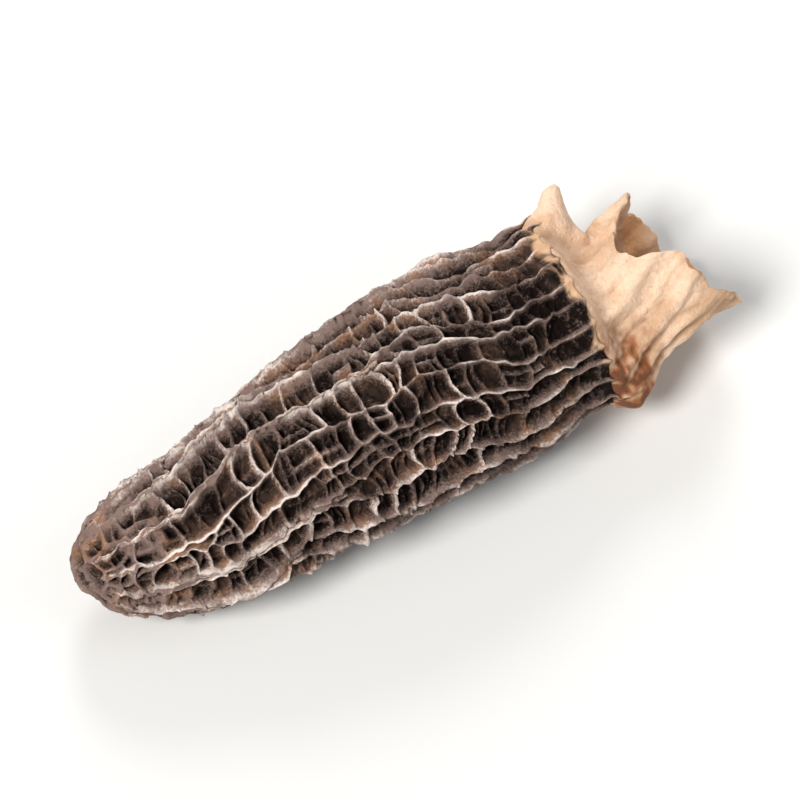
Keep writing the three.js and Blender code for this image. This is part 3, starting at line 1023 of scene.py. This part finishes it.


# The cap's colours. A range says between which values of the net's height, of closeness to a crest,
# or of the blotches one colour gives way to another
# Painted shade: the two pit colours are darker copies of the walls' brown, for the shade deep in the net
SHADED_PIT_BLACK = (0.008, 0.0045, 0.0035)
SHADED_PIT_BROWN = (0.05, 0.031, 0.024)
WALL_BROWN = (0.225, 0.155, 0.133)
WALL_RUST = (0.29, 0.16, 0.1)
CREST_GREY = (0.5, 0.41, 0.365)
CREST_PALE = (0.88, 0.78, 0.72)
HEM_CREAM = (0.7, 0.44, 0.27)
LINING_TAN = (0.6, 0.38, 0.2)
BROWN_PITS = (0.44, 0.64)
RUSTY_WALLS = (0.48, 0.66)
PIT_SHADE_FADES = (0.18, 0.74)
PALE_CRESTS = (0.4, 0.62)
UNWORN = (0.32, 0.5)
CREST_SHOWS = (0.27, 0.86)
HEM_SHOWS = (0.76, 1.12)
LINING_SHOWS = (-0.5, -0.3)
CAP_CREASE_WIDTH = 0.05
CREASE_HEIGHTS = (0.12, -0.03)  # in a crease, and beside it
GRAIN_HEIGHT = 0.1
SCUFFS = 0.16
UNWORN_BY = -0.3
HEM_ON_RIBS = 0.35
HEM_UNEVENNESS = 0.3
CREST_SMOOTHS = (0.2, 1)
CAP_ROUGHNESS = (0.85, 0.6)  # in the pits, and on worn crests
CAP_SPECULAR = 0.07


def net_colour(tree, relief, grain, blotches, creases):
    """Painted shade: near black on the floor of a pit, giving way by the net's height to brown or rusty up
    its walls
    """
    uneven = combined(tree, "ADD", relief, give_or_take(tree, grain, GRAIN_HEIGHT))
    creased = ranged(tree, creases, 0, CAP_CREASE_WIDTH, *CREASE_HEIGHTS)
    height = combined(tree, "ADD", uneven, creased)
    shaded_pit = blended(tree, ranged(tree, blotches, *BROWN_PITS), SHADED_PIT_BLACK, SHADED_PIT_BROWN)
    wall = blended(tree, ranged(tree, blotches, *RUSTY_WALLS), WALL_BROWN, WALL_RUST)
    # the painted shade of the pits gives way to the walls' colour as the net rises
    return blended(tree, ranged(tree, height, *PIT_SHADE_FADES), shaded_pit, wall)


def worn_edge_and_painted_light(tree, crest, grain, blotches):
    """How worn a crest is, with the painted light that its paleness carries: scuffed by the grain, and not
    worn at all in some blotches
    """
    scuffed = combined(tree, "ADD", crest, give_or_take(tree, grain, SCUFFS))
    return combined(tree, "ADD", scuffed, ranged(tree, blotches, *UNWORN, UNWORN_BY, 0))


def hem_patches(tree, relief, hem, blotches):
    """The cream that creeps from the hem down into the net, furthest on its ribs"""
    on_ribs = combined(tree, "MULTIPLY", relief, HEM_ON_RIBS)
    uneven = combined(tree, "ADD", on_ribs, give_or_take(tree, blotches, HEM_UNEVENNESS))
    return ranged(tree, combined(tree, "ADD", uneven, hem), *HEM_SHOWS)


def cap_material(group):
    """Painted shade near black in the pits, brown on the blades, and pale where the crests are worn, paler
    on the upper side as painted light
    """
    material, tree, shader = new_material("dried cap")
    grain, blotches, creases = dry_flesh_in(tree, group, grain=5200, blotches=420, creases=1500)
    relief, hem = fact(tree, "relief"), fact(tree, "hem")
    edge = worn_edge_and_painted_light(tree, fact(tree, "crest"), grain, blotches)
    pale = blended(tree, ranged(tree, blotches, *PALE_CRESTS), CREST_GREY, CREST_PALE)
    pale = blended(tree, hem, pale, HEM_CREAM)
    colour = net_colour(tree, relief, grain, blotches, creases)
    # pale crests: wear, and painted light that makes them paler on the upper side
    colour = blended(tree, ranged(tree, edge, *CREST_SHOWS), colour, pale)
    colour = blended(tree, hem_patches(tree, relief, hem, blotches), colour, HEM_CREAM)
    colour = blended(tree, ranged(tree, relief, *LINING_SHOWS, 1, 0), colour, LINING_TAN)
    tree.links.new(colour, shader.inputs["Base Color"])
    tree.links.new(ranged(tree, edge, *CREST_SMOOTHS, *CAP_ROUGHNESS), shader.inputs["Roughness"])
    shader.inputs["Specular IOR Level"].default_value = CAP_SPECULAR
    bumped(tree, shader, grain, strength=0.7, distance=0.18 * MM)
    return material


# The stem's colours, with ranges as the cap's
STEM_CREAM = (0.63, 0.4, 0.25)
STEM_PALE = (0.85, 0.61, 0.44)
STEM_TAN = (0.68, 0.35, 0.16)
# darker specks, and the painted shade deep in the pleats
SPECKS_AND_PLEAT_SHADE = (0.47, 0.27, 0.14)
JOIN_BROWN_TONE = (0.34, 0.125, 0.045)
JOIN_DARK_BROWN = (0.09, 0.03, 0.014)
PALE_FLESH = (0.35, 0.65)
CREAM_INSIDE = (0.4, 0.6)
INSIDE_SHOWS = (0.3, 0.9)
SPECKS_SHOW = (0.6, 0.72)
PLEAT_SHADE_SHOWS = (0.15, 0.9)
JOIN_BROWN_SHOWS = (0, 0.8)
JOIN_DARK_BROWN_SHOWS = (0.65, 1.1)
STEM_CREASE_WIDTH, CREASE_SHARE = 0.04, 0.3
SPECK_SHARE = 0.55
PLEAT_SHADE_SHARE = 0.6
JOIN_DARK_BROWN_SHARE = 0.8
STEM_ROUGHNESS = (0.6, 0.8)
STEM_SPECULAR = 0.35


def flesh_colour(tree, grain, blotches, creases):
    """Cream outside and tan inside, with tan creases and darker specks"""
    cream = blended(tree, ranged(tree, blotches, *PALE_FLESH), STEM_CREAM, STEM_PALE)
    tan = blended(tree, ranged(tree, blotches, *CREAM_INSIDE), STEM_TAN, STEM_CREAM)
    colour = blended(tree, ranged(tree, fact(tree, "inside"), *INSIDE_SHOWS), cream, tan)
    creased = ranged(tree, creases, 0, STEM_CREASE_WIDTH, CREASE_SHARE, 0)
    colour = blended(tree, creased, colour, STEM_TAN)
    return blended(tree, ranged(tree, grain, *SPECKS_SHOW, 0, SPECK_SHARE), colour, SPECKS_AND_PLEAT_SHADE)


def stem_material(group):
    """Dried flesh with painted shade in the pleats, and darker brown beside the cap"""
    material, tree, shader = new_material("dried stem")
    grain, blotches, creases = dry_flesh_in(tree, group, grain=3600, blotches=380, creases=1300)
    join_brown_share = fact(tree, "join_brown")
    colour = flesh_colour(tree, grain, blotches, creases)
    # painted shade: darker deep in the pleats
    pleat_shaded = ranged(tree, fact(tree, "pleat_shade"), *PLEAT_SHADE_SHOWS, 0, PLEAT_SHADE_SHARE)
    colour = blended(tree, pleat_shaded, colour, SPECKS_AND_PLEAT_SHADE)
    colour = blended(tree, ranged(tree, join_brown_share, *JOIN_BROWN_SHOWS), colour, JOIN_BROWN_TONE)
    darkest = ranged(tree, join_brown_share, *JOIN_DARK_BROWN_SHOWS, 0, JOIN_DARK_BROWN_SHARE)
    colour = blended(tree, darkest, colour, JOIN_DARK_BROWN)
    tree.links.new(colour, shader.inputs["Base Color"])
    tree.links.new(ranged(tree, grain, *TEXTURE_RANGE, *STEM_ROUGHNESS), shader.inputs["Roughness"])
    shader.inputs["Specular IOR Level"].default_value = STEM_SPECULAR
    bumped(tree, shader, grain, strength=0.8, distance=0.2 * MM)
    return material


FLOOR_HALF = 4  # metres
FLOOR_GREY = (0.7, 0.7, 0.69)
FLOOR_PALE = (0.73, 0.73, 0.72)
FLOOR_ROUGHNESS = 0.6


def floor_material():
    material, tree, shader = new_material("pale floor")
    texture = set_inputs(add_node(tree, "ShaderNodeTexNoise"), Scale=25, Detail=2)
    colour = blended(tree, texture.outputs["Fac"], FLOOR_GREY, FLOOR_PALE)
    tree.links.new(colour, shader.inputs["Base Color"])
    shader.inputs["Roughness"].default_value = FLOOR_ROUGHNESS
    return material


def make_floor():
    corners = [(x * FLOOR_HALF, y * FLOOR_HALF, 0) for x, y in ((-1, -1), (1, -1), (1, 1), (-1, 1))]
    mesh = bpy.data.meshes.new("floor")
    mesh.from_pydata(corners, [], [(0, 1, 2, 3)])
    floor = bpy.data.objects.new("floor", mesh)
    bpy.context.scene.collection.objects.link(floor)
    floor.data.materials.append(floor_material())


def direction(azimuth, elevation):
    """Unit vector from the morel towards a place round it. Azimuth 0 is towards -Y"""
    a, e = math.radians(azimuth), math.radians(elevation)
    return Vector((math.sin(a) * math.cos(e), -math.cos(a) * math.cos(e), math.sin(e)))


# Soft lights round the morel: their places in degrees and metres, their sizes in metres, and watts
LIGHTS = (
    {"name": "key", "azimuth": -75, "elevation": 52, "distance": 1.5, "size": 0.6, "power": 26},
    {"name": "fill", "azimuth": 60, "elevation": 40, "distance": 1.8, "size": 1.2, "power": 6.3},
    {"name": "back", "azimuth": 150, "elevation": 35, "distance": 1.5, "size": 0.6, "power": 10},
)
LIGHT_COLOURS = {"key": (1, 0.98, 0.95), "fill": (0.96, 0.98, 1), "back": (1, 1, 1)}
ROOM_BRIGHTNESS = 0.25


def area_light(name, azimuth, elevation, distance, size, power):
    light = bpy.data.lights.new(name, "AREA")
    light.shape = "DISK"
    light.size = size
    light.energy = power
    light.color = LIGHT_COLOURS[name]
    lamp = bpy.data.objects.new(name, light)
    lamp.location = direction(azimuth, elevation) * distance
    lamp.rotation_euler = direction(azimuth, elevation).to_track_quat("Z", "Y").to_euler()
    bpy.context.scene.collection.objects.link(lamp)


def light_scene():
    world = bpy.data.worlds.new("soft white room")
    world.use_nodes = True
    background = world.node_tree.nodes["Background"]
    background.inputs["Color"].default_value = (1, 1, 1, 1)
    background.inputs["Strength"].default_value = ROOM_BRIGHTNESS
    bpy.context.scene.world = world
    bpy.context.scene.view_settings.view_transform = "Standard"
    for light in LIGHTS:
        area_light(**light)


CAMERA_AZIMUTH = -29.3
CAMERA_ELEVATION = 62
CAMERA_LENS = 250
CAMERA_SEES = (0.01, 10)  # metres
FRAME_WIDTH = 0.0485  # metres across the picture at the morel


def make_camera():
    """Looks down from the photograph's angle, with the tip at the lower left"""
    data = bpy.data.cameras.new("camera")
    data.lens = CAMERA_LENS
    data.clip_start, data.clip_end = CAMERA_SEES
    camera = bpy.data.objects.new("camera", data)
    bpy.context.scene.collection.objects.link(camera)
    away = direction(CAMERA_AZIMUTH, CAMERA_ELEVATION)
    distance = FRAME_WIDTH * CAMERA_LENS / data.sensor_width
    camera.location = (cad_low + cad_high) / 2 + away * distance
    camera.rotation_euler = away.to_track_quat("Z", "Y").to_euler()
    bpy.context.scene.camera = camera


def dress(piece, material, node):
    """Puts a fine piece in the place of a solid"""
    piece.data.materials.append(material)
    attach(piece, "root")
    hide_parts(node)


make_camera()
light_scene()
make_floor()
dry_flesh = dry_flesh_group()
cap_net = skin("cap_net", cap_rings(), ("relief", "crest", "hem"), loop=False)
stem_tube = skin("stem_tube", stem_rings(), ("pleat_shade", "inside", "join_brown"), loop=True)
dress(cap_net, cap_material(dry_flesh), "cap")
dress(stem_tube, stem_material(dry_flesh), "stem")
